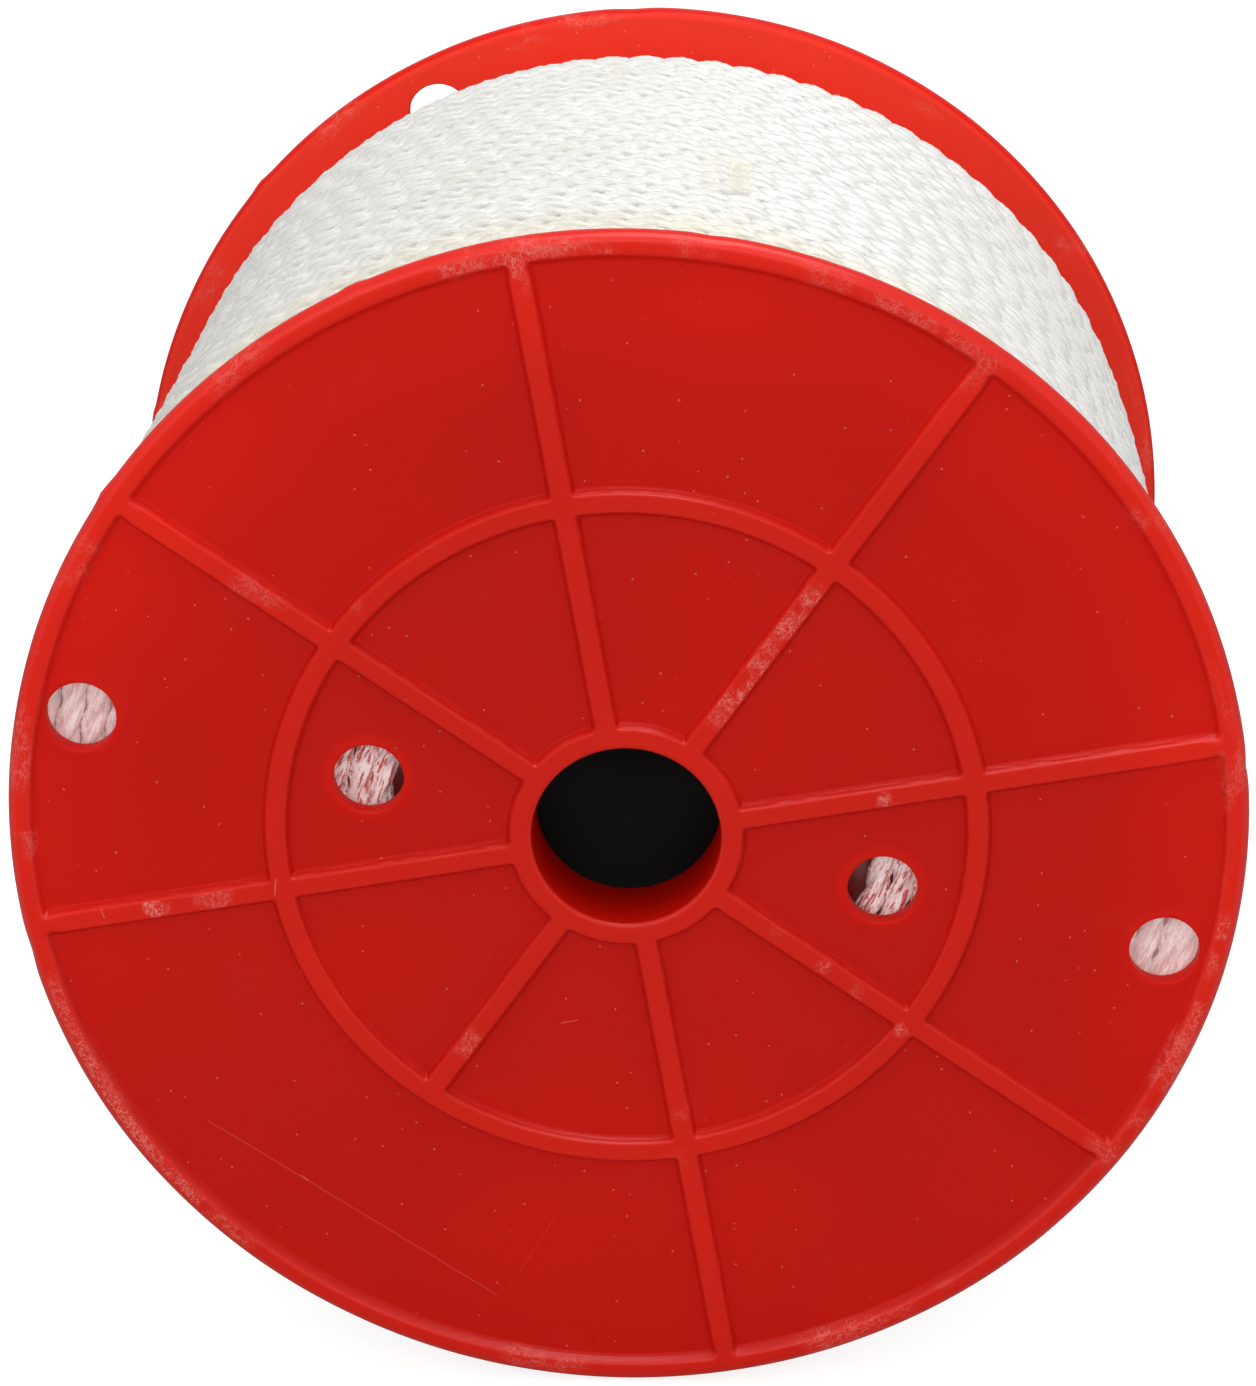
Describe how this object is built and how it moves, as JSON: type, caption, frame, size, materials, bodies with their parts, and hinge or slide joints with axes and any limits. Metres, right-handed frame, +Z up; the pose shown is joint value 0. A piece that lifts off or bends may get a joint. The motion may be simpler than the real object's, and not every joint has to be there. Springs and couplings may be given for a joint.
{
  "type": "string reel",
  "caption": "Full reel of laid white cord: two ribbed round moulded flanges on a core tube, with a plain bore through the axis for a shaft and a taped cord end.",
  "frame": {"origin": "on the reel's axis, halfway between the outer faces of its two flanges", "axes": "+Y along the bore from the front flange to the rear flange, +Z up with the reel lying on its rims, +X to the right seen from the front"},
  "size_m": [0.105, 0.09, 0.105],
  "materials": {
    "flange_plastic": "moulded, slightly satin, scuffed along ribs and rims",
    "core_plastic": "extruded tube, hidden under the cord",
    "string": "silky laid multifilament cord",
    "tape": "clear adhesive tape, yellowed"
  },
  "bodies": {
    "root": {"front_flange": "flange_plastic", "rear_flange": "flange_plastic", "core_tube": "core_plastic", "string_winding": "string", "end_tape": "tape"}
  },
  "joints": []
}
